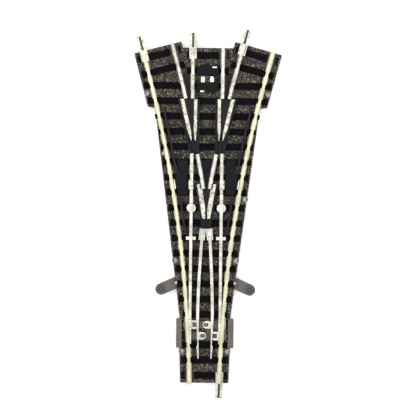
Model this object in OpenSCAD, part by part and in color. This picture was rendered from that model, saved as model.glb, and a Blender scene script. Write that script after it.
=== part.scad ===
// Three-way model turnout for 9 mm gauge sectional track.
// Toe end at -Y, heel end with three outlets at +Y, +Z up, millimetres.

/* [Route] */
// Radius of both curved routes, on the track centre line
route_r = 430; // [425:1:440]
// Distance between the inner faces of the two rails
gauge = 9; // [9:0.05:9.1]
// Length of the straight route
straight_len = 111; // [111:0.1:111.5]

/* [Rail] */
// Width of the rail head
head_w = 0.95; // [0.85:0.05:0.95]
// Width of the rail foot
foot_w = 1.6; // [1.4:0.1:1.8]
// Height of the rail
rail_h = 2.1; // [2:0.05:2.2]

/* [Roadbed] */
// Height of the ballast top above the table
bed_h = 3.6; // [3.6:0.1:3.6]
// Width of one sleeper along the track
sleeper_w = 2.3; // [2.1:0.1:2.3]
// Height of the sleepers above the ballast
sleeper_h = 0.4; // [0.4:0.05:0.4]
// Radius of the track pin holes
nail_r = 0.6; // [0.5:0.05:0.6]

/* [Levers] */
// Length from lever pivot to knob
lever_len = 5.45; // [5.2:0.05:5.6]
// Width of the hand end of a lever
lever_w = 3.8; // [3.4:0.1:3.8]
// Angle of a lever at rest
lever_deg = 24; // [24:1:24]
// Outer radius of the knob ring
knob_r = 1.3; // [1.1:0.1:1.4]

/* [Hidden] */
$fn = 48;

// plan of the curved routes: they leave the toe end with a small kink
kink = 1.4;
arc_y = 2;
branch_deg = 15;
arc_cx = route_r * cos(kink);
arc_cy = arc_y - route_r * sin(kink);
branch_len = 8.488;
rail_off = gauge / 2 + 0.475;
face = gauge / 2;
function turn_at(y) = asin((y - arc_cy) / route_r);
function off(y) = y < arc_y ? 0 : arc_cx - route_r * cos(turn_at(y));
// branch end, on the centre line
end_x = arc_cx - route_r * cos(branch_deg) + branch_len * sin(branch_deg);
end_y = arc_cy + route_r * sin(branch_deg) + branch_len * cos(branch_deg);
bed_half = 7.99;
// place and heading of the right stock rail at the toe end
toe_x = 4.936;
toe_turn = 1.545;

// heights
plate_t = 0.8;
roof_z = 2.8;
rail_z = bed_h + sleeper_h;
chair_z = rail_z + 0.8;
tab_z = rail_z + 0.5;
tab_t = 0.3;
blade_z = rail_z + 0.85;
top_z = rail_z + rail_h;
floor_z = rail_z + 0.7;

// joiners
clip_w = 2.4;
clip_len = 8.7;
clip_out = 5;

// the part is centred between the toe joiner and the far end of the right branch joiner
y_low = -clip_out;
y_high = end_y + rail_off * sin(branch_deg) + clip_out * cos(branch_deg) + clip_w / 2 * sin(branch_deg);
mid_y = (y_low + y_high) / 2;

// levers and throw bars
pivot_x = 9.7;
pivot_y = 33.1;
arm = 3.5;
throw_l = 1.72;
throw_r = 1.93;
bar_l_y = 19.3;
bar_r_y = 15.63;
heel_y = 49.2;
heel_x = rail_off - off(heel_y);
open_deg = 3.295;
outer_heel_y = 57.9;

pitch = 5.045;
function half_at(y) = y < 11.6 ? 7.95 + y * 0.0345 : y < 21.2 ? 7.9 : y < 91.2 ? 8.3 + (y - 21.2) * 0.12929 : 19.75 + (y - 91.4) * 0.2714;

module at_toe() { translate([0, -mid_y, 0]) children(); }
module box(x0, x1, y0, y1, z0, z1) { translate([x0, y0, z0]) cube([x1 - x0, y1 - y0, z1 - z0]); }
module slab(z0, z1) { translate([0, 0, z0]) linear_extrude(z1 - z0) children(); }
module both() { children(); mirror([1, 0, 0]) children(); }
// carries children from the branch end, +Y along the branch
module at_branch() { translate([end_x, end_y, 0]) rotate([0, 0, -branch_deg]) children(); }

module rail_shape() {
  polygon([[-foot_w / 2, 0], [foot_w / 2, 0], [foot_w / 2, 0.3], [0.25, 0.45], [0.25, 1.3],
    [head_w / 2, 1.5], [head_w / 2, rail_h], [-head_w / 2, rail_h], [-head_w / 2, 1.5],
    [-0.25, 1.3], [-0.25, 0.45], [-foot_w / 2, 0.3]]);
}
module rail_run(x, y0, y1) { translate([x, y1, rail_z]) rotate([90, 0, 0]) linear_extrude(y1 - y0) rail_shape(); }
// an arc about the right route's centre, from the cross-section's angle a0 to a1
module arc_run(a0, a1) {
  translate([arc_cx, arc_cy, 0]) rotate([0, 0, 180 - a1]) rotate_extrude(angle = a1 - a0, $fn = 360) children();
}
module rail_arc(r, a0, a1) { arc_run(a0, a1) translate([r, rail_z]) rail_shape(); }
function arc_a(r, y) = asin((y - arc_cy) / r);

// ---------- roadbed ----------
module bed_half_plan() {
  polygon([[0, 0], [7.95, 0], [8.35, 11.6], [9.45, 11.6], [9.45, 21.2], [8.3, 21.2], [17.35, 91.2], [19.75, 91.4],
    [end_x + bed_half * cos(branch_deg), end_y - bed_half * sin(branch_deg)],
    [end_x - bed_half * cos(branch_deg), end_y + bed_half * sin(branch_deg)],
    [8.51, straight_len], [0, straight_len]]);
}
module hollow_half_plan() {
  polygon([[0, 1.4], [6.1, 1.4], [6.1, 12.4], [7.4, 12.4], [7.4, 23], [8.4, 38.5], [15, 90], [18.4, 98], [20.5, 106], [9.6, 108.9], [0, 108.9]]);
}
module nail_places() {
  for (p = [[7.6, 10.3], [-7.6, 10.3], [10.2, 40.5], [-10.2, 40.5], [12.9, 61], [-14.8, 75.9], [20.1, 95.8], [-20.1, 95.8]])
    translate([p[0], p[1], 0]) children();
}
module screw_places() {
  for (p = [[0, 6], [0, 60], [0, 86], [12, 88], [-12, 88], [0, 106]]) translate([p[0], p[1], 0]) children();
}
module clip_rooms(z0, z1, len) {
  both() {
    box(rail_off - 1.5, rail_off + 1.5, -1, len, z0, z1);
    box(rail_off - 1.5, rail_off + 1.5, straight_len - len, straight_len + 1, z0, z1);
    at_branch() both() box(rail_off - 1.5, rail_off + 1.5, -len, 1, z0, z1);
  }
}

module ballast_bed() {
  color([0.43, 0.39, 0.33]) at_toe() difference() {
    union() {
      difference() {
        both() slab(plate_t, bed_h) bed_half_plan();
        both() slab(plate_t - 1, roof_z) hollow_half_plan();
        // windows for the levers
        both() box(6.5, 12, 30.2, 36.6, 0, roof_z);
        box(-7.6, 7.6, 14.1, 17.2, 1, 5);
        box(-7.6, 7.6, 17.75, 20.85, 1, 5);
      }
      screw_places() translate([0, 0, plate_t]) cylinder(r = 1.6, h = bed_h - plate_t);
      both() translate([pivot_x, pivot_y, roof_z]) cylinder(r = 0.85, h = bed_h - roof_z);
    }
    both() translate([pivot_x, pivot_y, roof_z - 1]) cylinder(r = 0.5, h = 3);
    clip_rooms(bed_h - 0.4, bed_h + 1, 6.2);
    nail_places() translate([0, 0, -1]) cylinder(r = nail_r, h = 6);
    screw_places() translate([0, 0, 0]) cylinder(r = 0.45, h = 2.6);
    translate([0, 75.5, bed_h - 0.6]) cylinder(r = 0.5, h = 2);
  }
}

module base_plate() {
  color([0.16, 0.16, 0.17]) at_toe() difference() {
    union() {
      both() slab(0, plate_t) bed_half_plan();
      both() translate([pivot_x, pivot_y, 0]) cylinder(r = 1.6, h = plate_t);
    }
    nail_places() translate([0, 0, -1]) cylinder(r = nail_r, h = 6);
    screw_places() {
      translate([0, 0, -1]) cylinder(r = 0.5, h = 3);
      translate([0, 0, -1]) cylinder(r = 1, h = 1.5);
    }
  }
}

module base_screws() {
  color([0.6, 0.6, 0.62]) at_toe() screw_places() difference() {
    union() {
      translate([0, 0, 0.05]) cylinder(r = 0.95, h = 0.45);
      translate([0, 0, 0.05]) cylinder(r = 0.44, h = 2.5);
    }
    translate([-0.7, -0.1, -1]) cube([1.4, 0.2, 1.25]);
    translate([-0.1, -0.7, -1]) cube([0.2, 1.4, 1.25]);
  }
}

// a pair of chairs: ribs beside the rail with a lip over its foot; left and right may be left off
module chair(l = true, r = true) {
  if (r) translate([0, 0.8, rail_z]) rotate([90, 0, 0]) linear_extrude(1.6)
    polygon([[foot_w / 2 + 0.03, -0.05], [1.35, -0.05], [1.35, 0.8], [0.5, 0.8], [0.5, 0.5], [foot_w / 2 + 0.03, 0.5]]);
  if (l) translate([0, 0.8, rail_z]) rotate([90, 0, 0]) linear_extrude(1.6)
    polygon([[-foot_w / 2 - 0.03, -0.05], [-1.35, -0.05], [-1.35, 0.8], [-0.5, 0.8], [-0.5, 0.5], [-foot_w / 2 - 0.03, 0.5]]);
}
function sleeper_y(i) = pitch * (i + 0.5);
module arc_chair(r, y, l = true, rr = true) {
  a = arc_a(r, y);
  translate([arc_cx - r * cos(a), y, 0]) rotate([0, 0, -a]) chair(l, rr);
}
module sleeper_grid() {
  color([0.13, 0.13, 0.16]) at_toe() difference() {
    union() {
      for (i = [0:21]) if (i != 3) {
        y = sleeper_y(i);
        w = i > 19 ? 6.9 : i == 2 || i == 4 ? 7.45 : half_at(y) - 0.4;
        box(-w, w, y - sleeper_w / 2, y + sleeper_w / 2, bed_h, rail_z);
      }
      both() at_branch() for (s = [2.5, 7.6]) box(-7.3, 7.3, -s - sleeper_w / 2, -s + sleeper_w / 2, bed_h, rail_z);
      both() {
        for (i = [1, 2, 4, 5, 6, 7, 8, 9, 10, 11, 12, 13, 14, 15, 16, 17, 18, 19]) arc_chair(route_r - rail_off, sleeper_y(i));
        for (i = [12, 13, 14]) translate([rail_off, sleeper_y(i), 0]) chair();
        translate([rail_off, sleeper_y(19), 0]) chair(true, false);
        translate([rail_off, sleeper_y(20), 0]) chair();
        arc_chair(route_r + rail_off, sleeper_y(19), false, true);
        for (i = [13, 14]) arc_chair(route_r + rail_off, sleeper_y(i), false, i == 13);
        at_branch() both() translate([rail_off, -7.6, 0]) chair();
      }
    }
    clip_rooms(bed_h - 1, rail_z + 2, 6.2);
    translate([0, 75.5, bed_h - 0.6]) cylinder(r = 0.5, h = 2);
  }
}

// ---------- rails ----------
module stock_right(y0) {
  r = route_r - rail_off;
  rail_arc(r, arc_a(r, y0), branch_deg);
  at_branch() rail_run(rail_off, -branch_len, 0);
}
module stock_rail_right() { color([0.9, 0.89, 0.74]) at_toe() stock_right(0); }
module stock_rail_left() { color([0.9, 0.89, 0.74]) at_toe() mirror([1, 0, 0]) stock_right(-0.5); }
module closure() { rail_run(rail_off, 59.5, 75.9); }
module closure_rail_right() { color([0.93, 0.92, 0.86]) at_toe() closure(); }
module closure_rail_left() { color([0.93, 0.92, 0.86]) at_toe() mirror([1, 0, 0]) closure(); }
module inner_closure() { r = route_r + rail_off; rail_arc(r, arc_a(r, 64.3), arc_a(r, 75.7)); }
module inner_closure_right() { color([0.93, 0.92, 0.86]) at_toe() inner_closure(); }
module inner_closure_left() { color([0.93, 0.92, 0.86]) at_toe() mirror([1, 0, 0]) inner_closure(); }
module heel() { rail_run(rail_off, 94.1, straight_len); }
module heel_rail_right() { color([0.93, 0.92, 0.86]) at_toe() heel(); }
module heel_rail_left() { color([0.93, 0.92, 0.86]) at_toe() mirror([1, 0, 0]) heel(); }
module branch_rail() {
  r = route_r + rail_off;
  rail_arc(r, arc_a(r, 94.1), branch_deg);
  at_branch() rail_run(-rail_off, -branch_len, 0);
}
module branch_rail_right() { color([0.93, 0.92, 0.86]) at_toe() branch_rail(); }
module branch_rail_left() { color([0.93, 0.92, 0.86]) at_toe() mirror([1, 0, 0]) branch_rail(); }

// ---------- frogs ----------
// plan between two offsets of the curved route, from y0 to y1
module band(o0, o1, y0, y1, n = 6) {
  ys = [for (i = [0:n]) y0 + (y1 - y0) * i / n];
  polygon(concat([for (y = ys) [off(y) + o0, y]], [for (i = [n:-1:0]) [off(ys[i]) + o1, ys[i]]]));
}
module centre_frog() {
  color([0.15, 0.15, 0.17]) at_toe() {
    slab(rail_z, floor_z) polygon(concat([[-1.45, 51.5]], [[1.45, 51.5]],
      [for (y = [54.6:3.16:64.1]) [off(y) - face + 2.05, y]], [for (y = [64.08:-3.16:54.6]) [-(off(y) - face + 2.05), y]]));
    both() slab(rail_z, floor_z) polygon([[off(64) - face + 0.4, 64], [off(64) - face + 2.05, 64], [off(65.9) - face + 2.05, 65.9], [off(65.9) - face + 0.4, 65.9]]);
    both() slab(floor_z, top_z) polygon([[0.6, 51.5], [1.4, 51.5], [2.02, 54.6], [off(57.7) - face + 2.02, 57.7],
      [off(60.9) - face + 2.02, 60.9], [off(64.05) - face + 2.02, 64.05], [off(64.05) - face + 1.4, 64.05],
      [off(60.9) - face + 1.4, 60.9], [off(57.7) - face + 1.4, 57.7], [1.36, 54.3]]);
    slab(floor_z, top_z - 0.05) polygon([[0, 55.3], [off(57.7) - face - 0.2, 57.7], [off(60.9) - face - 0.2, 60.9], [off(64.05) - face - 0.2, 64.05],
      [-(off(64.05) - face - 0.2), 64.05], [-(off(60.9) - face - 0.2), 60.9], [-(off(57.7) - face - 0.2), 57.7]]);
  }
}
module centre_flangeways() {
  color([0.93, 0.92, 0.84]) at_toe() both() slab(floor_z, floor_z + 0.3)
    polygon([[0.38, 54.4], [1.25, 54.4], [off(57.7) - face + 1.36, 57.7], [off(60.9) - face + 1.36, 60.9], [off(64.05) - face + 1.36, 64.05],
      [off(65.8) - face + 1.36, 65.8], [off(65.8) - face + 0.45, 65.8], [off(64.05) - face + 0.45, 64.05],
      [off(64.05) - face - 0.16, 64.05], [off(60.9) - face - 0.16, 60.9], [off(57.7) - face - 0.16, 57.7]]);
}
nose_y = 80.1;
frog_end = 94;
module side_frog() {
  slab(rail_z, floor_z) {
    difference() {
      band(-face - 20, -face + 2.1, 76.1, frog_end);
      translate([-30, 70]) square([32.6, 40]);
    }
    polygon([[5.93, frog_end], [6.12, frog_end], [6.82, 96.9], [5.93, 96.9]]);
  }
  // wing beside the straight route
  slab(floor_z, top_z) polygon([[2.65, 76.1], [3.35, 76.1], [3.35, 93], [2.65, 93]]);
  // wing beside the branch
  slab(floor_z, top_z) band(-face + 1.35, -face + 2.05, 76.1, frog_end - 0.05);
  // nose
  slab(floor_z, top_z - 0.05) polygon(concat([[face, nose_y], [face, frog_end]], [for (y = [frog_end:-2.78:nose_y + 0.1]) [off(y) - face, y]]));
  slab(floor_z, top_z - 0.35) polygon([[5.93, frog_end], [6.12, frog_end], [6.82, 96.9], [5.93, 96.9]]);
}
module right_frog() { color([0.2, 0.19, 0.21]) at_toe() side_frog(); }
module left_frog() { color([0.2, 0.19, 0.21]) at_toe() mirror([1, 0, 0]) side_frog(); }
module side_strips() {
  slab(floor_z, floor_z + 0.3) {
    polygon([[3.39, 84.6], [3.8, nose_y + 0.1], [3.98, nose_y + 0.1], [4.46, 83.2], [4.46, frog_end - 0.05], [3.39, frog_end - 0.05]]);
    polygon(concat([[off(nose_y) - face + 0.5, nose_y + 0.1]], [for (y = [83.2:3.1:frog_end - 0.05]) [off(y) - face + 0.04, y]],
      [[off(frog_end - 0.05) - face + 0.04, frog_end - 0.05], [off(frog_end - 0.05) - face + 1.31, frog_end - 0.05]],
      [for (y = [93.9:-3.1:84.6]) [off(y) - face + 1.31, y]], [[off(nose_y) - face + 0.68, nose_y + 0.1]]));
  }
}
module right_flangeways() { color([0.93, 0.92, 0.84]) at_toe() side_strips(); }
module left_flangeways() { color([0.93, 0.92, 0.84]) at_toe() mirror([1, 0, 0]) side_strips(); }

// ---------- check rails ----------
// plan of a right check rail: it follows the stock rail, and both ends flare away from it
function check_x(y, gap) = off(y) + face - gap - 0.36;
module check_run(y0, y1, gap, n) {
  ys = concat([y0], [for (i = [0:n]) y0 + 2 + (y1 - y0 - 4) * i / n], [y1]);
  xs = concat([check_x(y0, gap) - 0.28], [for (i = [0:n]) check_x(ys[i + 1], gap)], [check_x(y1, gap) - 0.28]);
  slab(rail_z, top_z - 0.05) polygon(concat([for (i = [0:n + 2]) [xs[i] - 0.35, ys[i]]], [for (i = [n + 2:-1:0]) [xs[i] + 0.35, ys[i]]]));
}
module check_front_right() { color([0.14, 0.14, 0.16]) at_toe() check_run(49.1, 60.7, 1.05, 4); }
module check_front_left() { color([0.14, 0.14, 0.16]) at_toe() mirror([1, 0, 0]) check_run(49.1, 60.7, 1.05, 4); }
module check_rear_right() { color([0.14, 0.14, 0.16]) at_toe() check_run(69.9, 91, 1.15, 7); }
module check_rear_left() { color([0.14, 0.14, 0.16]) at_toe() mirror([1, 0, 0]) check_run(69.9, 91, 1.15, 7); }

// ---------- infill ----------
module side_infill() {
  difference() {
    slab(rail_z, floor_z) polygon([[rail_off + 1.4, 62.3], [off(62.3) + rail_off - 1.45, 62.3], [off(69.2) + rail_off - 1.45, 69.2],
      [off(69.2) + rail_off - 2.9, 69.2], [off(74) + rail_off - 2.9, 74], [rail_off + 1.4, 74]]);
    for (y = [64, 69.7, 73.5]) box(0, 20, y, y + 0.25, floor_z - 0.3, floor_z + 1);
  }
}
module infill_right() { color([0.2, 0.2, 0.24]) at_toe() side_infill(); }
module infill_left() { color([0.2, 0.2, 0.24]) at_toe() mirror([1, 0, 0]) side_infill(); }
module infill_centre() {
  color([0.2, 0.2, 0.24]) at_toe() difference() {
    slab(rail_z, floor_z) polygon([[-0.14, 64.6], [0.14, 64.6], [off(69) - rail_off - 1.2, 69], [off(73.9) - rail_off - 1.2, 73.9],
      [-(off(73.9) - rail_off - 1.2), 73.9], [-(off(69) - rail_off - 1.2), 69]]);
    box(-5, 5, 69.7, 69.95, floor_z - 0.3, floor_z + 1);
  }
}
module crotch_infill() {
  color([0.27, 0.23, 0.22]) at_toe() both() slab(rail_z, rail_z + 0.4)
    polygon([[rail_off + 0.98, 97.1], [off(97.1) - rail_off - 1.25, 97.1], [off(102) - rail_off - 1.3, 102], [rail_off + 0.98, 102]]);
}

// ---------- contacts ----------
module contact_box() {
  color([0.18, 0.17, 0.19]) at_toe() difference() {
    box(-3.5, 3.5, 96.2, 105.3, rail_z, rail_z + 0.9);
    box(-3.2, 3.2, 99.3, 101.95, rail_z + 0.4, rail_z + 2);
    box(1.35, 3.05, 104.15, 104.95, rail_z + 0.4, rail_z + 2);
    box(-2.6, -0.95, 96.1, 96.95, rail_z + 0.4, rail_z + 2);
    box(-3.6, -2.6, 104.4, 105.4, rail_z - 1, rail_z + 2);
    box(2.6, 3.6, 96.1, 97.1, rail_z - 1, rail_z + 2);
    translate([0, 106, 0]) cylinder(r = 1.7, h = 1);
  }
}
module contact_tabs() {
  color([0.92, 0.91, 0.88]) at_toe() {
    box(-2.2, -1.05, 99.55, 101.35, rail_z + 0.4, rail_z + 0.8);
    box(0.8, 1.95, 99.65, 101.45, rail_z + 0.4, rail_z + 0.8);
    box(1.45, 2.95, 104.3, 104.75, rail_z + 0.4, rail_z + 0.95);
    box(-2.45, -1.1, 96.3, 96.8, rail_z + 0.4, rail_z + 0.85);
  }
}
module jumper_clips() {
  color([0.94, 0.93, 0.9]) at_toe() both() {
    box(rail_off + 0.52, rail_off + 0.88, 64.1, 67.1, rail_z + 0.46, rail_z + 0.9);
    translate([off(65.6) + rail_off, 65.6, 0]) rotate([0, 0, -10]) box(-0.95, -0.6, -1.5, 1.5, rail_z + 0.46, rail_z + 0.9);
  }
}

// ---------- fixed hinge parts ----------
module heel_sleeves() {
  color([0.86, 0.85, 0.78]) at_toe() both() translate([heel_x, heel_y, 0]) {
    rotate([0, 0, 6]) difference() {
      box(-1, 1, -1.9, 1.9, rail_z, rail_z + 1.15);
      box(-0.65, 0.65, -3, 3, rail_z + 0.3, rail_z + 3);
    }
    translate([0, 0, rail_z + 0.25]) cylinder(r = 0.28, h = 0.9);
  }
}
module heel_rivets() {
  color([0.8, 0.79, 0.74]) at_toe() both() translate([rail_off, outer_heel_y, 0]) {
    translate([0, 0, rail_z]) cylinder(r = 1, h = 0.45);
    translate([0, 0, rail_z + 0.4]) cylinder(r = 0.45, h = 0.4);
  }
}
module cover() {
  difference() {
    box(7.7, 9.45, 11.6, 21.2, bed_h, bed_h + 0.7);
    box(8, 9.15, 12, 12.25, bed_h + 0.5, bed_h + 2);
  }
}
module side_cover_right() { color([0.46, 0.42, 0.38]) at_toe() cover(); }
module side_cover_left() { color([0.46, 0.42, 0.38]) at_toe() mirror([1, 0, 0]) cover(); }
module lever_pins() { color([0.75, 0.74, 0.7]) at_toe() both() translate([pivot_x, pivot_y, plate_t]) cylinder(r = 0.4, h = bed_h + 0.1 - plate_t); }

// ---------- joiners ----------
// the joiner's open end points along +Y, with the rail end at y = 0
module joiner() {
  translate([0, clip_out, rail_z]) rotate([90, 0, 0]) linear_extrude(clip_len) polygon([[-clip_w / 2, -0.26], [clip_w / 2, -0.26],
    [clip_w / 2, 0.72], [0.36, 0.72], [0.36, 0.5], [foot_w / 2 + 0.06, 0.5], [foot_w / 2 + 0.06, -0.03],
    [-foot_w / 2 - 0.06, -0.03], [-foot_w / 2 - 0.06, 0.5], [-0.36, 0.5], [-0.36, 0.72], [-clip_w / 2, 0.72]]);
}
module joiner_toe() { color([0.8, 0.8, 0.76]) at_toe() translate([toe_x, 0, 0]) rotate([0, 0, -toe_turn]) mirror([0, 1, 0]) joiner(); }
module joiner_heel() { color([0.8, 0.8, 0.76]) at_toe() translate([-rail_off, straight_len, 0]) joiner(); }
module joiner_branch_right() { color([0.8, 0.8, 0.76]) at_toe() at_branch() translate([-rail_off, 0, 0]) joiner(); }
module joiner_branch_left() { color([0.8, 0.8, 0.76]) at_toe() mirror([1, 0, 0]) at_branch() translate([rail_off, 0, 0]) joiner(); }

// ---------- throw bars and links ----------
bar_z = bed_h - 0.9;
bar_top = bed_h + 0.2;
pin_r = 0.5;
lug = 0.575;
// square lug with rounded corners that works an outer blade
module square_lug(h) {
  translate([-lug, -lug + 0.2, 0]) cube([2 * lug, 2 * lug - 0.4, h]);
  translate([-lug + 0.2, -lug, 0]) cube([2 * lug - 0.4, 2 * lug, h]);
  for (a = [-1, 1]) for (b = [-1, 1]) translate([a * (lug - 0.2), b * (lug - 0.2), 0]) cylinder(r = 0.2, h = h);
}
// bar with its round end at x1, a round pin for an inner blade and a square lug for an outer blade
module bar(x0, x1, y, pin_x, lug_x) {
  box(x0, x1 - 1.3, y - 1.3, y + 1.3, bar_z, bar_top);
  translate([x1 - 1.3, y, bar_z]) cylinder(r = 1.3, h = bar_top - bar_z);
  for (d = [-0.95, -0.3, 0.35, 1]) box(x0 + 0.3, x1 - 2.6, y + d - 0.1, y + d + 0.1, bar_top - 0.1, bar_top + 0.12);
  translate([x1 - 0.95, y + 0.3, bar_top - 0.1]) difference() {
    cylinder(r = 0.75, h = 0.22);
    translate([0, 0, -1]) cylinder(r = 0.5, h = 3);
  }
  translate([pin_x, y, bar_z]) cylinder(r = pin_r, h = tab_z + tab_t - bar_z);
  translate([lug_x, y, bar_z]) square_lug(tab_z + tab_t - bar_z);
}
module throw_bar_left() {
  color([0.4, 0.36, 0.34]) at_toe() mirror([1, 0, 0]) {
    bar(-4.6, 7.35, bar_l_y, -0.35, 3.44);
    translate([5.5, bar_l_y, bar_z - 0.9]) cylinder(r = 0.6, h = 1);
  }
}
module throw_bar_right() {
  color([0.4, 0.36, 0.34]) at_toe() {
    bar(-4.6, 7.35, bar_r_y, -0.68, 3.37);
    slab(bed_h + 0.05, bar_top) polygon([[0.9, bar_r_y + 1.2], [2.1, bar_r_y + 1.2], [2.1, 17.85], [0.1, 17.85]]);
    translate([5.5, bar_r_y, bar_z - 0.9]) cylinder(r = 0.6, h = 1);
  }
}
module capsule(a, b, r, h) {
  d = b - a;
  translate(a) cylinder(r = r, h = h);
  translate(b) cylinder(r = r, h = h);
  translate(a) rotate([0, 0, atan2(d[1], d[0])]) translate([0, -r, 0]) cube([norm(d), 2 * r, h]);
}
// right-hand link: its oblique slot turns the swing of the lever pin into a sideways throw t
module link(t, y) {
  p0 = [pivot_x - arm * cos(lever_deg), pivot_y + arm * sin(lever_deg), 0];
  pm = [pivot_x - arm + t / 2, pivot_y, 0];
  p1 = [p0[0] + t, pivot_y - arm * sin(lever_deg), 0];
  difference() {
    slab(bar_z - 0.9, bar_z - 0.1) polygon([[4, y - 1.4], [6.9, y - 1.4], [7, 30.6], [p1[0] + 0.9, 30.6], [p1[0] + 0.9, 32.2],
      [pm[0] + 1.1, 33.8], [p0[0] + 1, 35.5], [5.6, 35.5], [4, 33]]);
    translate([0, 0, 1]) capsule(p0, pm, 0.6, 3);
    translate([0, 0, 1]) capsule(pm, p1, 0.6, 3);
    translate([5.5, y, 1]) cylinder(r = 0.61, h = 3);
  }
}
module drive_link_right() { color([0.55, 0.54, 0.5]) at_toe() link(throw_r, bar_r_y); }
module drive_link_left() { color([0.55, 0.54, 0.5]) at_toe() mirror([1, 0, 0]) link(throw_l, bar_l_y); }

// ---------- blades ----------
module outer_plan() {
  ys = [13, 15, 17, 19, 21, 22.6];
  polygon(concat([[face, 59.35], [face, 13]], [for (y = ys) [min(face + 0.95, face - 0.05 + off(y)), y]], [[face + 0.95, 23], [face + 0.95, 59.35]]));
}
module outer_blade() { slab(blade_z, top_z) outer_plan(); }
module outer_blade_right() { color([0.92, 0.91, 0.86]) at_toe() outer_blade(); }
module outer_blade_left() { color([0.92, 0.91, 0.86]) at_toe() mirror([1, 0, 0]) outer_blade(); }
// metal pieces under an outer blade: throw tab around the square lug, cross tab, round heel
module outer_tabs(y, lug_x, lost, x0) {
  x1 = min(5.3, rail_off + off(y) - 0.42);
  difference() {
    union() {
      box(x0 + 0.8, x1, y - 1.4, y + 1.4, tab_z, tab_z + tab_t);
      for (s = [-0.6, 0.6]) translate([x0 + 0.8, y + s, tab_z]) cylinder(r = 0.8, h = tab_t);
      box(x0, x0 + 0.9, y - 0.6, y + 0.6, tab_z, tab_z + tab_t);
      box(face + 0.05, min(x1, face - 0.1 + off(y)), y - 1.2, y + 1.2, tab_z + tab_t, blade_z);
      box(3.375, 6.575, 47.35, 48.45, tab_z, blade_z);
      translate([rail_off, outer_heel_y, tab_z]) cylinder(r = 1.5, h = tab_t);
      box(rail_off - 0.4, rail_off + 0.4, outer_heel_y - 1.2, outer_heel_y + 1.2, tab_z + tab_t, blade_z);
    }
    translate([lug_x - lost / 2, y, tab_z - 1]) box(-lug - lost / 2 - 0.09, lug + lost / 2 + 0.09, -lug - 0.16, lug + 0.2, 0, 3);
    translate([rail_off, outer_heel_y, tab_z - 1]) cylinder(r = 0.5, h = 3);
  }
}
module outer_tabs_right() { color([0.88, 0.87, 0.84]) at_toe() outer_tabs(bar_r_y, 3.37, 0.18, 2.25); }
module outer_tabs_left() { color([0.88, 0.87, 0.84]) at_toe() mirror([1, 0, 0]) outer_tabs(bar_l_y, 3.44, 0.12, 2.35); }

// inner blade on the right, drawn closed, then swung open about its heel
module inner_plan() {
  ys = [15, 18, 20.5, 23, 26, 30, 35, 40, 45, 48.5, 51];
  polygon(concat([[face - off(8.3), 8.3], [face - 0.05 + off(8.3), 8.3], [face - 0.05 + off(12.2), 12.2], [face - 0.05, 12.8]],
    [for (y = ys) [min(face + 0.95 - off(y), face - 0.05), y]],
    [for (i = [len(ys) - 1:-1:0]) [face - off(ys[i]), ys[i]]], [[face - off(12), 12]]));
}
module inner_blade() {
  translate([heel_x, heel_y, 0]) rotate([0, 0, -open_deg]) translate([-heel_x, -heel_y, 0]) difference() {
    slab(blade_z, top_z) inner_plan();
    translate([heel_x, heel_y, blade_z - 1]) cylinder(r = 0.33, h = 1.4);
  }
}
module inner_blade_right() { color([0.92, 0.91, 0.86]) at_toe() inner_blade(); }
module inner_blade_left() { color([0.92, 0.91, 0.86]) at_toe() mirror([1, 0, 0]) inner_blade(); }
// tab with a full round end and a slot around the pin
module inner_tab(y, pin_x, x0) {
  difference() {
    union() {
      box(x0 + 1.25, 2.6, y - 1.25, y + 1.25, tab_z, tab_z + tab_t);
      translate([x0 + 1.25, y, tab_z]) cylinder(r = 1.25, h = tab_t);
      box(2.08, 2.42, y - 1.2, y + 1.2, tab_z + tab_t, blade_z);
    }
    translate([0, 0, tab_z - 1]) capsule([pin_x - 0.22, y, 0], [pin_x + 0.22, y, 0], pin_r + 0.12, 3);
  }
}
module inner_tab_right() { color([0.88, 0.87, 0.84]) at_toe() inner_tab(bar_l_y, 0.35, -0.68); }
module inner_tab_left() { color([0.88, 0.87, 0.84]) at_toe() mirror([1, 0, 0]) inner_tab(bar_r_y, 0.68, -0.36); }

// ---------- levers ----------
module lever() {
  translate([pivot_x, pivot_y, 0]) rotate([0, 0, -lever_deg]) difference() {
    union() {
      translate([0, 0, 0.9]) cylinder(r = 1.4, h = 0.8);
      box(-arm, 1, -0.9, 0.9, 0.9, 1.7);
      translate([-arm, 0, 0.9]) cylinder(r = 0.9, h = 0.8);
      translate([-arm, 0, 1.6]) cylinder(r = 0.45, h = 0.9);
      slab(0.9, 2.5) polygon([[0.6, -lever_w / 2], [lever_len, -lever_w / 2], [lever_len, lever_w / 2], [-0.3, lever_w / 2]]);
      translate([lever_len, 0, 0.9]) cylinder(r = lever_w / 2, h = 1.6);
      translate([lever_len, 0, 2.4]) cylinder(r = knob_r, h = 0.8);
    }
    translate([0, 0, 0]) cylinder(r = 0.45, h = 4);
    translate([lever_len, 0, 2.6]) cylinder(r = knob_r - 0.45, h = 2);
  }
}
module lever_right() { color([0.41, 0.37, 0.36]) at_toe() lever(); }
module lever_left() { color([0.41, 0.37, 0.36]) at_toe() mirror([1, 0, 0]) lever(); }

ballast_bed();
base_plate();
base_screws();
sleeper_grid();
stock_rail_left();
stock_rail_right();
closure_rail_left();
closure_rail_right();
inner_closure_left();
inner_closure_right();
heel_rail_left();
heel_rail_right();
branch_rail_left();
branch_rail_right();
centre_frog();
left_frog();
right_frog();
centre_flangeways();
left_flangeways();
right_flangeways();
check_front_left();
check_front_right();
check_rear_left();
check_rear_right();
infill_left();
infill_right();
infill_centre();
crotch_infill();
contact_box();
contact_tabs();
jumper_clips();
heel_sleeves();
heel_rivets();
side_cover_left();
side_cover_right();
lever_pins();
joiner_toe();
joiner_heel();
joiner_branch_left();
joiner_branch_right();
throw_bar_left();
drive_link_left();
throw_bar_right();
drive_link_right();
outer_blade_left();
outer_blade_right();
outer_tabs_left();
outer_tabs_right();
inner_blade_left();
inner_blade_right();
inner_tab_left();
inner_tab_right();
lever_left();
lever_right();
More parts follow.
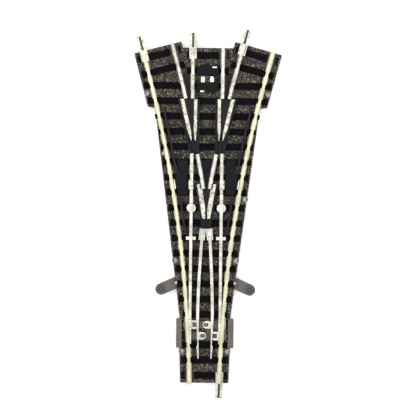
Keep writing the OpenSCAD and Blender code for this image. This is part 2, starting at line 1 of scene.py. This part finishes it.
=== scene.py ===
import math
import bpy
import numpy as np
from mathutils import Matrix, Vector


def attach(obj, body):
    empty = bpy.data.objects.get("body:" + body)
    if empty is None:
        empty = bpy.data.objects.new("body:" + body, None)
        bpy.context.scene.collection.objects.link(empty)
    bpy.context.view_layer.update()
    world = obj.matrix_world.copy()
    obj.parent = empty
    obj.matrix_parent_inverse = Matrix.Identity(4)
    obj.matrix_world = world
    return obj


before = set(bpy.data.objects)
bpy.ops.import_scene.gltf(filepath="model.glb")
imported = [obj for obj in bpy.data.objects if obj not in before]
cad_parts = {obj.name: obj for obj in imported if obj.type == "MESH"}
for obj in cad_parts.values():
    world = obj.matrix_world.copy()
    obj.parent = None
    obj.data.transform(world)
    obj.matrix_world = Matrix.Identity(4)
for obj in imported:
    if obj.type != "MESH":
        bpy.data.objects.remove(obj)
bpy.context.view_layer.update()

# ---------------------------------------------------------------- roadbed
# The roadbed is one injection moulding in brown-grey plastic, its top and
# shoulders moulded as fine crushed stone and speckled with tan and dark
# paint. It carries the sleepers and hides the switch drive.
MM = 0.001
STRAIGHT = 111.0                 # length of the straight route
ROUTE_R = 430.0                  # radius of a branch, on its centre line
KINK = math.radians(1.4)         # a branch leaves the straight at this angle
BRANCH = math.radians(15)        # and ends at this one
ARC_X = ROUTE_R * math.cos(KINK)
ARC_Y = 2.0 - ROUTE_R * math.sin(KINK)
BRANCH_LEN = 8.488               # straight stretch at the end of a branch
END_X = ARC_X - ROUTE_R * math.cos(BRANCH) + BRANCH_LEN * math.sin(BRANCH)
END_Y = ARC_Y + ROUTE_R * math.sin(BRANCH) + BRANCH_LEN * math.cos(BRANCH)
RAIL_OFF = 4.975                 # centre line to the middle of a rail
MID_Y = (END_Y + (RAIL_OFF + 1.2) * math.sin(BRANCH)
         + 5 * math.cos(BRANCH) - 5) / 2
BED_H = 3.6
BED_HALF = 7.99
PITCH = 5.045                    # from one sleeper to the next
SLEEPER_W = 2.3
LEVER_PIN = (9.7, 33.1)
DIMPLE = (0, 75.5)
PIN_HOLES = [(7.6, 10.3), (-7.6, 10.3), (10.2, 40.5), (-10.2, 40.5),
             (12.9, 61), (-14.8, 75.9), (20.1, 95.8), (-20.1, 95.8)]
PLAIN_HOLE = (-14.8, 75.9)       # the one without a raised rim

# a pebble: a point above, a point below and two rings of five between them
STONE = np.array([[0, 0, 1], [0, 0, -1]] + [
    [math.cos(turn) * 0.89, math.sin(turn) * 0.89, height]
    for height, shift in ((0.45, 0), (-0.45, 0.6))
    for turn in np.arange(5) * 2 * math.pi / 5 + shift])
STONE_FACES = np.array(
    [[0, 2 + i, 2 + (i + 1) % 5] for i in range(5)]
    + [[1, 7 + (i + 1) % 5, 7 + i] for i in range(5)]
    + [[2 + i, 7 + i, 2 + (i + 1) % 5] for i in range(5)]
    + [[2 + (i + 1) % 5, 7 + i, 7 + (i + 1) % 5] for i in range(5)])
STONE_TINTS = np.array([
    [0.060, 0.051, 0.040], [0.130, 0.112, 0.086], [0.030, 0.026, 0.023],
    [0.260, 0.228, 0.175], [0.090, 0.083, 0.076], [0.012, 0.011, 0.012],
    [0.440, 0.395, 0.310], [0.070, 0.066, 0.052]])
STONE_SHARES = [0.22, 0.15, 0.22, 0.10, 0.10, 0.12, 0.05, 0.04]


def inside(px, py, outline):
    """Even-odd rule: a point is inside when a ray to its right crosses the
    outline's edges an odd number of times."""
    ax, ay = outline[:, 0][:, None], outline[:, 1][:, None]
    bx = np.roll(outline[:, 0], -1)[:, None]
    by = np.roll(outline[:, 1], -1)[:, None]
    with np.errstate(divide="ignore", invalid="ignore"):
        cross = ((ay > py) != (by > py)) & (
            px < (bx - ax) * (py - ay) / (by - ay) + ax)
    return cross.sum(0) % 2 == 1


def branch_frame(px, py, side):
    """Coordinates across and along a branch, counted from its end: the step
    from that end, turned back by the branch's angle."""
    dx, dy = px - side * END_X, py - END_Y
    c, s = math.cos(BRANCH), math.sin(BRANCH) * side
    return dx * c - dy * s, dx * s + dy * c


def mesh_piece(name, verts, faces, material, body="base", smooth=False,
               tint=None):
    """Puts whole arrays of corners (millimetres, toe end at y = 0) and faces
    into one mesh object, with an optional colour for each corner."""
    verts = (np.asarray(verts, float) - [0, MID_Y, 0]) * MM
    faces = np.asarray(faces, np.int32)
    corners = faces.shape[1]
    mesh = bpy.data.meshes.new(name)
    mesh.vertices.add(len(verts))
    mesh.vertices.foreach_set("co", verts.ravel())
    mesh.loops.add(faces.size)
    mesh.loops.foreach_set("vertex_index", faces.ravel())
    mesh.polygons.add(len(faces))
    mesh.polygons.foreach_set("loop_start", np.arange(len(faces)) * corners)
    mesh.polygons.foreach_set("loop_total", np.full(len(faces), corners))
    mesh.polygons.foreach_set("use_smooth", np.full(len(faces), smooth))
    if tint is not None:
        layer = mesh.color_attributes.new("tint", "FLOAT_COLOR", "POINT")
        layer.data.foreach_set(
            "color", np.c_[tint, np.ones(len(tint))].ravel())
    mesh.update(calc_edges=True)
    mesh.validate()
    mesh.materials.append(material)
    piece = bpy.data.objects.new(name, mesh)
    bpy.context.collection.objects.link(piece)
    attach(piece, body)
    return piece


def stones(name, centres, size, rng, material):
    """Each stone is one twenty-faced pebble, stretched along three random
    axes, turned by a random unit quaternion and set at its centre."""
    n = len(centres)
    q = rng.normal(size=(n, 4))
    q /= np.linalg.norm(q, axis=1)[:, None]
    w, x, y, z = q.T
    turn = np.stack([
        1 - 2 * (y * y + z * z), 2 * (x * y - z * w), 2 * (x * z + y * w),
        2 * (x * y + z * w), 1 - 2 * (x * x + z * z), 2 * (y * z - x * w),
        2 * (x * z - y * w), 2 * (y * z + x * w), 1 - 2 * (x * x + y * y),
    ], axis=1).reshape(n, 3, 3)
    stretch = size * rng.uniform(0.75, 1.2, (n, 1, 3))
    verts = np.einsum("nij,nvj->nvi", turn, STONE[None] * stretch)
    verts += centres[:, None, :]
    faces = STONE_FACES[None] + (np.arange(n) * len(STONE))[:, None, None]
    pick = rng.choice(len(STONE_TINTS), n, p=STONE_SHARES)
    tint = STONE_TINTS[pick] * rng.uniform(0.85, 1.15, (n, 1))
    return mesh_piece(name, verts.reshape(-1, 3), faces.reshape(-1, 3),
                      material, tint=np.repeat(tint, len(STONE), 0))


def new_material(name):
    """An empty node material with its shader, ready for links."""
    mat = bpy.data.materials.new(name)
    mat.use_nodes = True
    nodes, links = mat.node_tree.nodes, mat.node_tree.links
    nodes.clear()
    shader = nodes.new("ShaderNodeBsdfPrincipled")
    out = nodes.new("ShaderNodeOutputMaterial")
    links.new(shader.outputs[0], out.inputs[0])
    return mat, nodes, links, shader, nodes.new("ShaderNodeTexCoord")


def noise(nodes, links, coords, scale, detail, stretch=None):
    """Noise in object space; stretch squeezes it along the three axes."""
    texture = nodes.new("ShaderNodeTexNoise")
    texture.inputs["Scale"].default_value = scale
    texture.inputs["Detail"].default_value = detail
    place = coords.outputs["Object"]
    if stretch:
        mapping = nodes.new("ShaderNodeMapping")
        mapping.inputs["Scale"].default_value = stretch
        links.new(place, mapping.inputs["Vector"])
        place = mapping.outputs[0]
    links.new(place, texture.inputs["Vector"])
    return texture


def ramp(nodes, links, source, stops):
    """A colour ramp over stops of (place, colour)."""
    colours = nodes.new("ShaderNodeValToRGB")
    for i, (place, colour) in enumerate(stops):
        stop = (colours.color_ramp.elements[i] if i < 2
                else colours.color_ramp.elements.new(place))
        stop.position = place
        stop.color = (*colour, 1)
    links.new(source, colours.inputs[0])
    return colours


def bump(nodes, links, shader, height, depth_mm):
    """Fine relief of the given depth, in millimetres."""
    relief = nodes.new("ShaderNodeBump")
    relief.inputs["Strength"].default_value = 1
    relief.inputs["Distance"].default_value = depth_mm * MM
    links.new(height, relief.inputs["Height"])
    links.new(relief.outputs[0], shader.inputs["Normal"])


def dress(mat, *names):
    """Gives CAD nodes this material."""
    for name in names:
        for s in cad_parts[name].material_slots:
            s.material = mat


grit, nodes, links, shader, coords = new_material("roadbed_grit")
cells = nodes.new("ShaderNodeTexVoronoi")
cells.inputs["Scale"].default_value = 2600
links.new(coords.outputs["Object"], cells.inputs["Vector"])
speck = nodes.new("ShaderNodeSeparateColor")
links.new(cells.outputs["Color"], speck.inputs[0])
speck_tint = ramp(nodes, links, speck.outputs[0], [
    (0.0, (0.025, 0.022, 0.020)), (1.0, (0.25, 0.22, 0.17)),
    (0.35, (0.06, 0.052, 0.044)), (0.75, (0.13, 0.115, 0.092))])
links.new(speck_tint.outputs[0], shader.inputs["Base Color"])
shader.inputs["Roughness"].default_value = 0.85
shader.inputs["Specular IOR Level"].default_value = 0.25
bump(nodes, links, shader, cells.outputs["Distance"], 0.12)
dress(grit, "ballast_bed")

stone_skin, nodes, links, shader, coords = new_material("roadbed_stones")
tint_in = nodes.new("ShaderNodeVertexColor")
tint_in.layer_name = "tint"
grain = noise(nodes, links, coords, 9000, 4)
shade = ramp(nodes, links, grain.outputs[0],
             [(0.3, (0.5, 0.5, 0.5)), (0.7, (1, 1, 1))])
dust = nodes.new("ShaderNodeMix")
dust.data_type = "RGBA"
dust.blend_type = "MULTIPLY"
dust.inputs[0].default_value = 0.5
links.new(tint_in.outputs[0], dust.inputs[6])
links.new(shade.outputs[0], dust.inputs[7])
links.new(dust.outputs[2], shader.inputs["Base Color"])
shader.inputs["Roughness"].default_value = 0.8
shader.inputs["Specular IOR Level"].default_value = 0.25
bump(nodes, links, shader, grain.outputs[0], 0.03)

half = np.array([
    [7.95, 0], [8.35, 11.6], [9.45, 11.6], [9.45, 21.2], [8.3, 21.2],
    [17.35, 91.2], [19.75, 91.4],
    [END_X + BED_HALF * math.cos(BRANCH), END_Y - BED_HALF * math.sin(BRANCH)],
    [END_X - BED_HALF * math.cos(BRANCH), END_Y + BED_HALF * math.sin(BRANCH)],
    [8.51, STRAIGHT]])
outline = np.vstack([half, half[::-1] * [-1, 1]])


def half_at(y):
    """Half the roadbed's width at y, without its side covers: one straight
    line for each stretch of the outline."""
    return np.select([y < 11.6, y < 21.2, y < 91.2],
                     [7.95 + y * 0.0345, 7.9, 8.3 + (y - 21.2) * 0.12929],
                     19.75 + (y - 91.4) * 0.2714)


# The stones of the top stand on a loose grid, and leave bare what isn't
# stone: the sleepers, the drive, the joiners' rooms, the holes and bosses.
STONE_STEP = 0.40
STONE_JITTER = 0.19
TOP_STONE = 0.27
EDGE_STRIP = 0.18
SLEEPER_STRIP = 0.16             # bare strip along each side of a sleeper
BRANCH_SLEEPERS = (2.5, 7.6)     # from the end of a branch
BRANCH_SLEEPER_HALF = 7.45
HEEL_SLEEPER_HALF = 6.9
LAST_LONG_SLEEPER = 19           # past it each route has its own sleepers
DRIVE_SLEEPER = 3                # the throw bars take the place of this one
COVER_SLEEPER_HALF = 7.45        # the two beside it end at the side covers
JOINER_HALF, JOINER_ROOM = 1.7, 6.3
PIN_CLEAR, BOSS_CLEAR = 0.85, 1.15

rng = np.random.default_rng(7)
gx, gy = np.meshgrid(np.arange(-24.4, 24.4, STONE_STEP),
                     np.arange(0.2, 113, STONE_STEP))
px = gx.ravel() + rng.uniform(-STONE_JITTER, STONE_JITTER, gx.size)
py = gy.ravel() + rng.uniform(-STONE_JITTER, STONE_JITTER, gx.size)
ax = np.abs(px)
keep = inside(px, py, outline + np.sign(outline - [0, 56]) * -EDGE_STRIP)
row = py / PITCH - 0.5
index = np.round(row).astype(int)
near = np.abs(row - np.round(row)) * PITCH < SLEEPER_W / 2 + SLEEPER_STRIP
sleeper_half = np.where(
    index > LAST_LONG_SLEEPER, HEEL_SLEEPER_HALF,
    np.where(np.abs(index - DRIVE_SLEEPER) == 1, COVER_SLEEPER_HALF,
             half_at(PITCH * (index + 0.5)) - 0.4)) + 0.12
keep &= ~(near & (index != DRIVE_SLEEPER) & (ax < sleeper_half))
for side in (-1, 1):
    across, along = branch_frame(px, py, side)
    for back in BRANCH_SLEEPERS:
        keep &= ~((np.abs(along + back) < SLEEPER_W / 2 + SLEEPER_STRIP)
                  & (np.abs(across) < BRANCH_SLEEPER_HALF))
    for rail in (-RAIL_OFF, RAIL_OFF):
        keep &= ~((np.abs(across - rail) < JOINER_HALF)
                  & (along > -JOINER_ROOM))
keep &= ~((ax < 7.6) & (py > 13.9) & (py < 21.1))        # throw bars
keep &= ~((ax > 7.5) & (py > 11.4) & (py < 21.4))        # side covers
keep &= ~((np.abs(ax - RAIL_OFF) < JOINER_HALF)
          & ((py < JOINER_ROOM) | (py > STRAIGHT - JOINER_ROOM)))
for x, y in PIN_HOLES + [DIMPLE]:
    keep &= np.hypot(px - x, py - y) > PIN_CLEAR
keep &= np.hypot(ax - LEVER_PIN[0], py - LEVER_PIN[1]) > BOSS_CLEAR
sunk = rng.uniform(-0.12, 0.02, px.size)
top_stones = stones("roadbed_top_stones", np.c_[px, py, BED_H + sunk][keep],
                    TOP_STONE, rng, stone_skin)

# The shoulders' stones stand along each long side of the outline, sunk a
# little into it, and leave the lever windows, side covers and bosses bare.
SHOULDER_STONE = 0.22
SHOULDER_SINK = 0.12
following = np.roll(outline, -1, 0)
long_side = np.abs((following - outline)[:, 1]) > 5
rows = []
for start, end in zip(outline[long_side], following[long_side]):
    run = np.linalg.norm(end - start)
    along, up = np.meshgrid(np.arange(0.25, run - 0.2, 0.4),
                            np.arange(1.05, BED_H - 0.05, 0.38))
    along = along.ravel() + rng.uniform(-0.17, 0.17, along.size)
    up = up.ravel() + rng.uniform(-0.15, 0.15, up.size)
    way = (end - start) / run
    outward = np.array([way[1], -way[0]])
    rows.append(np.c_[start + along[:, None] * way - outward * SHOULDER_SINK,
                      up])
spots = np.vstack(rows)
x, y, z = spots.T
window = (y > 29.9) & (y < 36.9) & (z < 3.1)
cover = (y > 11.5) & (y < 21.3) & (z > 3.2)
boss = np.hypot(np.abs(x) - LEVER_PIN[0], y - LEVER_PIN[1]) < BOSS_CLEAR
shoulder_stones = stones("roadbed_shoulder_stones",
                         spots[~window & ~cover & ~boss], SHOULDER_STONE,
                         rng, stone_skin)


def ring(centre, radius, thick, turns=28, sides=8):
    """A ring lying flat: its corner at turn a and side b stands at
    (radius + thick cos b) (cos a, sin a) across, and thick sin b up."""
    a, b = np.meshgrid(np.arange(turns) * 2 * math.pi / turns,
                       np.arange(sides) * 2 * math.pi / sides, indexing="ij")
    across = radius + thick * np.cos(b)
    verts = np.stack([across * np.cos(a), across * np.sin(a),
                      thick * np.sin(b)], -1).reshape(-1, 3)
    i, j = np.meshgrid(np.arange(turns), np.arange(sides), indexing="ij")
    near, far = i * sides, (i + 1) % turns * sides
    up = (j + 1) % sides
    quads = np.stack([near + j, far + j, far + up, near + up], -1)
    return verts + np.asarray(centre, float), quads.reshape(-1, 4)


def ring_piece(name, rings, material, body="base"):
    """Several rings as one piece: their corners one after the other, and
    each ring's faces counted on from the corners before it."""
    verts = np.vstack([corners for corners, quads in rings])
    first = np.cumsum([0] + [len(corners) for corners, quads in rings[:-1]])
    faces = np.vstack([quads + start
                       for start, (corners, quads) in zip(first, rings)])
    return mesh_piece(name, verts, faces, material, body, smooth=True)


# the other pin holes have a raised rim, coloured pale as a painted highlight
# on its rounded top
RIM_R, RIM_THICK = 0.78, 0.18
rim_skin, nodes, links, shader, coords = new_material("pin_hole_rim")
painted_light = noise(nodes, links, coords, 2500, 4)
rim_highlight = ramp(nodes, links, painted_light.outputs[0],
            [(0.35, (0.16, 0.15, 0.13)), (0.65, (0.45, 0.42, 0.36))])
links.new(rim_highlight.outputs[0], shader.inputs["Base Color"])
shader.inputs["Roughness"].default_value = 0.6
bump(nodes, links, shader, painted_light.outputs[0], 0.02)
rims = [ring((*hole, BED_H + 0.02), RIM_R, RIM_THICK)
        for hole in PIN_HOLES if hole != PLAIN_HOLE]
ring_piece("pin_hole_rims", rims, rim_skin)

# ---------------------------------------------------------------- base
# A thin dark plate closes the underside of the roadbed and carries the
# lever pivots. It is moulded in plain black plastic and held by screws
# sunk into round seats.


def plastic(name, colour, rough, fleck=0.12, relief=0.01, scale=5000,
            stretch=None, sheen=0.2):
    """Moulded plastic: a fine eggshell relief, slightly uneven gloss, and
    faint lighter and darker clouds in the colour."""
    mat, nodes, links, shader, coords = new_material(name)
    fine = noise(nodes, links, coords, scale, 4, stretch)
    cloud = noise(nodes, links, coords, 180, 3)
    shade = ramp(nodes, links, cloud.outputs[0], [
        (0.3, tuple(c * (1 - fleck) for c in colour)),
        (0.7, tuple(c * (1 + fleck) for c in colour))])
    links.new(shade.outputs[0], shader.inputs["Base Color"])
    gloss = nodes.new("ShaderNodeMapRange")
    gloss.inputs["To Min"].default_value = rough - 0.07
    gloss.inputs["To Max"].default_value = rough + 0.07
    links.new(fine.outputs[0], gloss.inputs[0])
    links.new(gloss.outputs[0], shader.inputs["Roughness"])
    shader.inputs["Specular IOR Level"].default_value = sheen
    bump(nodes, links, shader, fine.outputs[0], relief)
    return mat


def soften(width_mm, *names):
    """Rounds the moulded edges of these nodes a little."""
    for name in names:
        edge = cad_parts[name].modifiers.new("soft_edge", "BEVEL")
        edge.width = width_mm * MM
        edge.segments = 2
        edge.limit_method = "ANGLE"


dress(plastic("base_plastic", (0.014, 0.014, 0.016), 0.5), "base_plate")


def metal(name, colour, rough, dark=0.25, tarnish=0.0, shade_below=None):
    """Drawn metal: fine lines along the track in gloss and relief, and
    cloudy colour that is darker by the share dark in places. The spots on
    it are tarnish, or on clean metal the bare colour. The last argument
    gives two heights in millimetres and a share, for painted shade: below
    the first height only that share of the colour is left, and above the
    second it has all its colour."""
    mat, nodes, links, shader, coords = new_material(name)
    lines = noise(nodes, links, coords, 60, 5, (60, 4, 60))
    cloud = noise(nodes, links, coords, 420, 5)
    shade = ramp(nodes, links, cloud.outputs[0], [
        (0.40 - tarnish * 0.1, tuple(c * (1 - dark) for c in colour)),
        (0.62, colour)])
    specks = noise(nodes, links, coords, 1500, 2)
    where = ramp(nodes, links, specks.outputs[0], [
        (0.64 - 0.1 * tarnish, (0, 0, 0)), (0.72 - 0.1 * tarnish, (1, 1, 1))])
    spotted = nodes.new("ShaderNodeMix")
    spotted.data_type = "RGBA"
    links.new(where.outputs[0], spotted.inputs[0])
    links.new(shade.outputs[0], spotted.inputs[6])
    spot = (0.25, 0.24, 0.2) if tarnish else colour
    spotted.inputs[7].default_value = (*spot, 1)
    finish = spotted.outputs[2]
    # painted shade: the colour is multiplied by a share that climbs from the
    # given share at the first height to 1 at the second
    if shade_below:
        place = nodes.new("ShaderNodeSeparateXYZ")
        links.new(coords.outputs["Object"], place.inputs[0])
        share = nodes.new("ShaderNodeMapRange")
        share.inputs["From Min"].default_value = shade_below[0] * MM
        share.inputs["From Max"].default_value = shade_below[1] * MM
        share.inputs["To Min"].default_value = shade_below[2]
        links.new(place.outputs[2], share.inputs[0])
        painted_light = nodes.new("ShaderNodeMix")
        painted_light.data_type = "RGBA"
        painted_light.blend_type = "MULTIPLY"
        painted_light.inputs[0].default_value = 1
        links.new(finish, painted_light.inputs[6])
        links.new(share.outputs[0], painted_light.inputs[7])
        finish = painted_light.outputs[2]
    links.new(finish, shader.inputs["Base Color"])
    shader.inputs["Metallic"].default_value = 1
    gloss = nodes.new("ShaderNodeMapRange")
    gloss.inputs["To Min"].default_value = rough - 0.08
    gloss.inputs["To Max"].default_value = rough + 0.1
    links.new(lines.outputs[0], gloss.inputs[0])
    links.new(gloss.outputs[0], shader.inputs["Roughness"])
    bump(nodes, links, shader, lines.outputs[0], 0.006)
    return mat


dress(metal("screw_steel", (0.55, 0.55, 0.56), 0.35), "base_screws")

# ---------------------------------------------------------------- sleepers
# The sleepers and the chairs that grip the rail feet are one near-black
# moulding. Each sleeper has the faint grain of sawn timber across the track.
dress(plastic("sleeper_black", (0.0026, 0.0025, 0.0048), 0.6, 0.4, 0.03, 900,
              (1, 9, 9), 0.06), "sleeper_grid")

# ---------------------------------------------------------------- rails
# The rails are drawn nickel silver. The two outer stock rails are a little
# yellower; the rails between them are paler and worn bright in patches.
STOCK_RAILS = ("stock_rail_left", "stock_rail_right")
INNER_RAILS = ("closure_rail_left", "closure_rail_right",
               "inner_closure_left", "inner_closure_right",
               "heel_rail_left", "heel_rail_right",
               "branch_rail_left", "branch_rail_right")
# Below 5.0 mm each rail's colour fades to a share of itself, full again from
# 5.7 mm: painted shade on the rail foot beside the head, deeper on the inner
# rails.
dress(metal("stock_rail_metal", (0.585, 0.568, 0.39), 0.36, 0.2,
            shade_below=(5.0, 5.7, 0.72)), *STOCK_RAILS)
dress(metal("inner_rail_metal", (0.66, 0.645, 0.56), 0.38, 0.45,
            tarnish=0.8, shade_below=(5.0, 5.7, 0.3)), *INNER_RAILS)
soften(0.11, *STOCK_RAILS, *INNER_RAILS)

# ---------------------------------------------------------------- frogs
# The crossing noses and wing rails are dark grey plastic, so that no
# insulation is needed. Bright metal strips form the flangeway floors.
frog_black = plastic("frog_plastic", (0.011, 0.0105, 0.0145), 0.42, 0.15,
                     sheen=0.12)
dress(frog_black, "centre_frog", "left_frog", "right_frog")
strip_metal = metal("flangeway_metal", (0.62, 0.605, 0.50), 0.35, 0.45,
                    tarnish=1.2)
dress(strip_metal, "centre_flangeways", "left_flangeways",
      "right_flangeways")

# ---------------------------------------------------------------- check rails
# Four thin plastic check rails with flared ends stand beside the stock rails.
# They are the same black moulding as the sleepers.
dress(plastic("check_black", (0.011, 0.011, 0.018), 0.38, sheen=0.15),
      "check_front_left", "check_front_right", "check_rear_left",
      "check_rear_right")

# ---------------------------------------------------------------- infill
# Smooth dark panels fill the space between the rails before the frogs, and
# plain plates fill the crotches behind them.
dress(plastic("panel_plastic", (0.0055, 0.0055, 0.0095), 0.4, 0.1,
              sheen=0.1),
      "infill_left", "infill_right", "infill_centre")
dress(plastic("crotch_plastic", (0.026, 0.019, 0.021), 0.6, sheen=0.1),
      "crotch_infill")

# ---------------------------------------------------------------- contacts
# A small plastic contact box sits between the straight rails near the heel.
# Tinned tabs show in its windows, the floor of its recess is gritty, and
# wire clips feed the closure rails.
GRIT_Z = 4.38                    # just under the floor of the recess
GRIT_STEP = 0.3
dress(plastic("contact_plastic", (0.006, 0.006, 0.009), 0.5, sheen=0.1),
      "contact_box")
grid = np.stack(np.meshgrid(np.arange(-3.1, 3.15, GRIT_STEP),
                            np.arange(99.45, 101.85, GRIT_STEP)),
                -1).reshape(-1, 2)
grid += rng.uniform(-0.1, 0.1, grid.shape)
grit_stones = stones("contact_grit",
                     np.c_[grid, np.full(len(grid), GRIT_Z)], 0.2,
                     rng, stone_skin)
tin = metal("tinned_metal", (0.66, 0.65, 0.58), 0.3, 0.3, tarnish=0.6)
dress(tin, "contact_tabs", "jumper_clips")

# ---------------------------------------------------------------- blades
# The four switch blades are planed from the same rail. Stamped tabs under
# them take the throw-bar pins, and rivets or folded sleeves hold the heels.
# Below 5.0 mm their colour fades to 0.4 of itself, full again from 5.6 mm:
# painted shade on the blade foot beside the head.
blade_metal = metal("blade_metal", (0.61, 0.60, 0.515), 0.34, 0.35,
                    tarnish=0.5, shade_below=(5.0, 5.6, 0.4))
dress(blade_metal, "outer_blade_left", "outer_blade_right",
      "inner_blade_left", "inner_blade_right")
tab_metal = metal("tab_metal", (0.63, 0.62, 0.57), 0.36, 0.25, tarnish=0.2)
dress(tab_metal, "outer_tabs_left", "outer_tabs_right", "inner_tab_left",
      "inner_tab_right", "heel_sleeves", "heel_rivets")

# ---------------------------------------------------------------- drive
# Two throw bars slide across the track, moved by links under the roadbed.
# They are grey-brown plastic; smooth covers close the drive at both sides.
bar_plastic = plastic("bar_plastic", (0.145, 0.132, 0.122), 0.5, 0.35)
dress(bar_plastic, "throw_bar_left", "throw_bar_right")
dress(plastic("cover_plastic", (0.145, 0.125, 0.105), 0.65, 0.3, 0.03, 1800),
      "side_cover_left", "side_cover_right")
soften(0.1, "side_cover_left", "side_cover_right")
dress(metal("link_metal", (0.5, 0.49, 0.46), 0.4), "drive_link_left",
      "drive_link_right", "lever_pins")

# ---------------------------------------------------------------- levers
# Each hand lever is a warm grey moulding that swings on a pin at the edge of
# the roadbed, with a ring-shaped knob at its hand end.
LEVER_LEN = 5.45                 # pin to knob
LEVER_TURN = math.radians(24)    # how far an arm leans to the toe at rest
KNOB_TOP, KNOB_FOOT = 3.17, 2.55
KNOB_R, WELL_R = 1.30, 0.86      # the knob, and the well in its top
lever_plastic = plastic("lever_plastic", (0.135, 0.118, 0.110), 0.5, 0.12)
dress(lever_plastic, "lever_left", "lever_right")
soften(0.16, "lever_left", "lever_right")
# two dark rings, round the well in the knob's top and round the knob's foot:
# painted shade in those creases
groove_shade = plastic("lever_groove_shade", (0.040, 0.035, 0.033), 0.7, sheen=0.1)
knob_x = LEVER_PIN[0] + LEVER_LEN * math.cos(LEVER_TURN)
knob_y = LEVER_PIN[1] - LEVER_LEN * math.sin(LEVER_TURN)
for side, name in ((-1, "left"), (1, "right")):
    rings = [ring((side * knob_x, knob_y, KNOB_TOP), WELL_R, 0.09),
             ring((side * knob_x, knob_y, KNOB_FOOT), KNOB_R, 0.08)]
    ring_piece("lever_shade_rings_" + name, rings, groove_shade, name + "_lever")

# ---------------------------------------------------------------- joiners
# The rail joiners are folded nickel-silver channels. They slide on the rail
# foot and take the foot of the next section's rail.
JOINERS = ("joiner_toe", "joiner_heel", "joiner_branch_left",
           "joiner_branch_right")
# Below 4.25 mm their colour fades to 0.12 of itself, full again from 4.6 mm:
# painted shade low in the channel.
dress(metal("joiner_metal", (0.60, 0.59, 0.50), 0.34, 0.45, tarnish=1.0,
            shade_below=(4.25, 4.6, 0.12)), *JOINERS)
soften(0.16, *JOINERS)

# ---------------------------------------------------------------- stage
# A plain white floor that glows a little, so that no shadow stays on it,
# under a soft sky and two soft boxes. The camera looks straight down.
bpy.ops.mesh.primitive_plane_add(size=6, location=(0, 0, -0.0001))
floor = bpy.context.object
floor.name = "floor"
floor_mat, nodes, links, shader, coords = new_material("floor_white")
shader.inputs["Base Color"].default_value = (0.96, 0.96, 0.96, 1)
shader.inputs["Roughness"].default_value = 0.9
shader.inputs["Emission Color"].default_value = (1, 1, 1, 1)
shader.inputs["Emission Strength"].default_value = 0.35
floor.data.materials.append(floor_mat)

SKY_STRENGTH = 1.15
world = bpy.data.worlds.new("studio")
bpy.context.scene.world = world
world.use_nodes = True
nodes, links = world.node_tree.nodes, world.node_tree.links
height = nodes.new("ShaderNodeSeparateXYZ")
links.new(nodes.new("ShaderNodeTexCoord").outputs["Generated"],
          height.inputs[0])
sky = ramp(nodes, links, height.outputs[2], [
    (0.0, (0.16, 0.16, 0.17)), (1.0, (1, 1, 1)),
    (0.25, (0.30, 0.30, 0.31)), (0.65, (0.85, 0.85, 0.85))])
links.new(sky.outputs[0], nodes["Background"].inputs[0])
nodes["Background"].inputs[1].default_value = SKY_STRENGTH


def soft_light(name, place, size, watts):
    """A square soft box at place, turned towards the origin."""
    lamp = bpy.data.lights.new(name, "AREA")
    lamp.shape = "SQUARE"
    lamp.size = size
    lamp.energy = watts
    box = bpy.data.objects.new(name, lamp)
    bpy.context.collection.objects.link(box)
    box.location = place
    box.rotation_euler = (-Vector(place)).to_track_quat("-Z", "Y").to_euler()


soft_light("key", (-0.25, 0.2, 0.9), 0.7, 2.6)
soft_light("fill", (0.5, -0.3, 0.7), 0.6, 1.2)

CAMERA_HEIGHT = 0.75             # above the rails
VIEW_WIDTH = 0.1391              # what the camera takes in at that distance
VIEW_ROLL = math.radians(0.69)
SENSOR = 36
camera = bpy.data.cameras.new("camera")
camera.sensor_width = SENSOR
camera.lens = SENSOR * CAMERA_HEIGHT / VIEW_WIDTH
camera.clip_start = 0.01
eye = bpy.data.objects.new("camera", camera)
bpy.context.collection.objects.link(eye)
eye.location = (1.25 * MM, (57.3 - MID_Y) * MM, 4 * MM + CAMERA_HEIGHT)
eye.rotation_euler = (0, 0, VIEW_ROLL)
bpy.context.scene.camera = eye
bpy.context.scene.view_settings.view_transform = "Standard"
